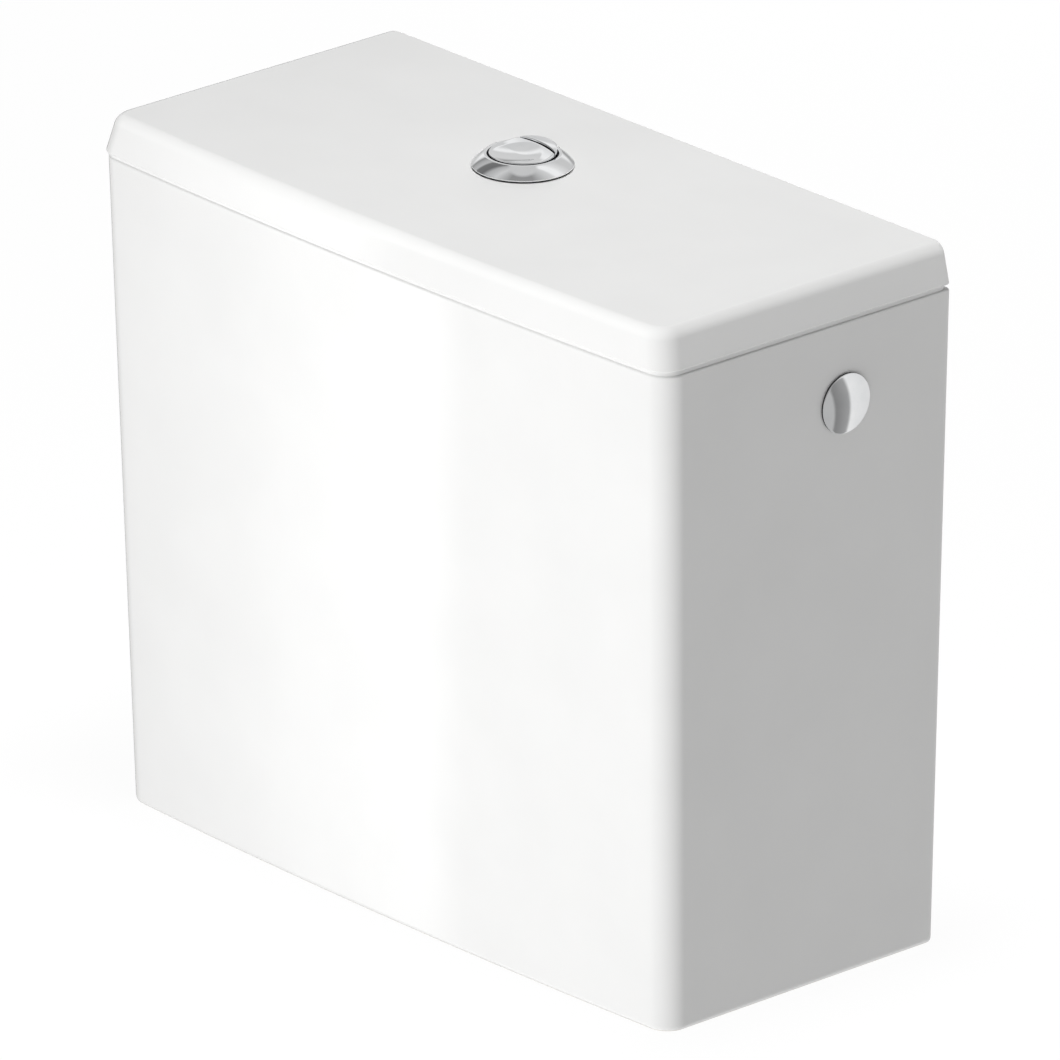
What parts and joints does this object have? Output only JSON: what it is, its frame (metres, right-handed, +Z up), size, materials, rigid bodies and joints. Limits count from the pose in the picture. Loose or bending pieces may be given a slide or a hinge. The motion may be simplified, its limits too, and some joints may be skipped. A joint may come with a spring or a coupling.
{
  "type": "toilet cistern",
  "caption": "Close-coupled ceramic toilet cistern with a lift-off lid, a round dual-flush push button, a flush valve worked by levers and a side-entry fill valve with a float arm.",
  "frame": {"origin": "on the outlet axis, at the tail's mouth, level with the foot that the tank stands on", "axes": "+X to the right as seen from the front, +Y to the wall, +Z up"},
  "size_m": [0.4178, 0.1826, 0.3551],
  "materials": {
    "glaze": "clear gloss glaze",
    "chrome": "polished",
    "chrome_plastic": "chrome-plated plastic, polished",
    "white_plastic": "moulded, satin",
    "grey_plastic": "moulded, fine grain",
    "blue_plastic": "moulded, fine grain",
    "black_rubber": "moulded",
    "red_rubber": "moulded silicone",
    "steel": "drawn stainless wire"
  },
  "bodies": {
    "cistern": {"tank": "glaze", "lid_pads": "black_rubber", "valve_base": "white_plastic", "base_seal": "black_rubber", "back_nut": "white_plastic", "coupling_gasket": "black_rubber", "valve_bridge": "white_plastic", "lever_pin": "steel", "fill_valve_body": "white_plastic", "shank_gasket": "black_rubber", "shank_nut": "white_plastic", "inlet_strainer": "blue_plastic", "diaphragm": "black_rubber", "head_cap": "grey_plastic", "float_arm_pin": "steel", "fall_tube": "grey_plastic", "blanking_cap": "chrome_plastic", "cap_gasket": "black_rubber", "cap_washer": "black_rubber", "cap_nut": "white_plastic"},
    "lid_set": {"lid": "glaze", "button_gasket": "black_rubber", "button_ring": "chrome", "button_sleeve": "grey_plastic", "sleeve_nut": "white_plastic", "rod_guide": "white_plastic", "full_spring": "steel", "half_spring": "steel"},
    "full_plate": {"full_button": "chrome_plastic", "full_push_rod": "white_plastic"},
    "half_plate": {"half_button": "chrome_plastic", "half_push_rod": "white_plastic"},
    "full_rocker": {"full_lever": "blue_plastic"},
    "half_rocker": {"half_lever": "grey_plastic"},
    "main_valve": {"overflow_tube": "white_plastic", "main_seal": "red_rubber", "seal_retainer": "grey_plastic", "float_ring": "blue_plastic", "half_seal": "red_rubber"},
    "half_valve": {"half_sleeve": "grey_plastic"},
    "float": {"float_arm": "blue_plastic", "float_screw": "white_plastic", "float_cup": "white_plastic"}
  },
  "joints": [
    {"name": "lid_lift", "type": "slide", "parent": "cistern", "child": "lid_set", "axis": [0, 0, 1], "range_m": [0, 0.1]},
    {"name": "full_press", "type": "slide", "parent": "lid_set", "child": "full_plate", "axis": [0, 0, -1], "range_m": [0, 0.007], "stiffness_N_per_m": 400, "springref_m": -0.006, "deforming": ["full_spring"]},
    {"name": "half_press", "type": "slide", "parent": "lid_set", "child": "half_plate", "axis": [0, 0, -1], "range_m": [0, 0.007], "stiffness_N_per_m": 400, "springref_m": -0.006, "deforming": ["half_spring"]},
    {"name": "full_rock", "type": "hinge", "parent": "cistern", "child": "full_rocker", "pos_m": [0.01, -0.008, 0.283], "axis": [0, -1, 0], "range_deg": [0, 20]},
    {"name": "half_rock", "type": "hinge", "parent": "cistern", "child": "half_rocker", "pos_m": [0.01, 0.0095, 0.283], "axis": [0, -1, 0], "range_deg": [0, 20]},
    {"name": "main_lift", "type": "slide", "parent": "cistern", "child": "main_valve", "axis": [0, 0, 1], "range_m": [0, 0.011]},
    {"name": "half_lift", "type": "slide", "parent": "main_valve", "child": "half_valve", "axis": [0, 0, 1], "range_m": [0, 0.011]},
    {"name": "float_swing", "type": "hinge", "parent": "cistern", "child": "float", "pos_m": [-0.12122, 0.0124, 0.2965], "axis": [0, -1, 0], "range_deg": [0, 20]}
  ],
  "couplings": [
    {"joint": "full_rock", "follows": "full_press", "rad_per_m": 49.52},
    {"joint": "main_lift", "follows": "full_press", "ratio": 1.5534},
    {"joint": "half_rock", "follows": "half_press", "rad_per_m": 49.52},
    {"joint": "half_lift", "follows": "half_press", "ratio": 1.5534}
  ]
}
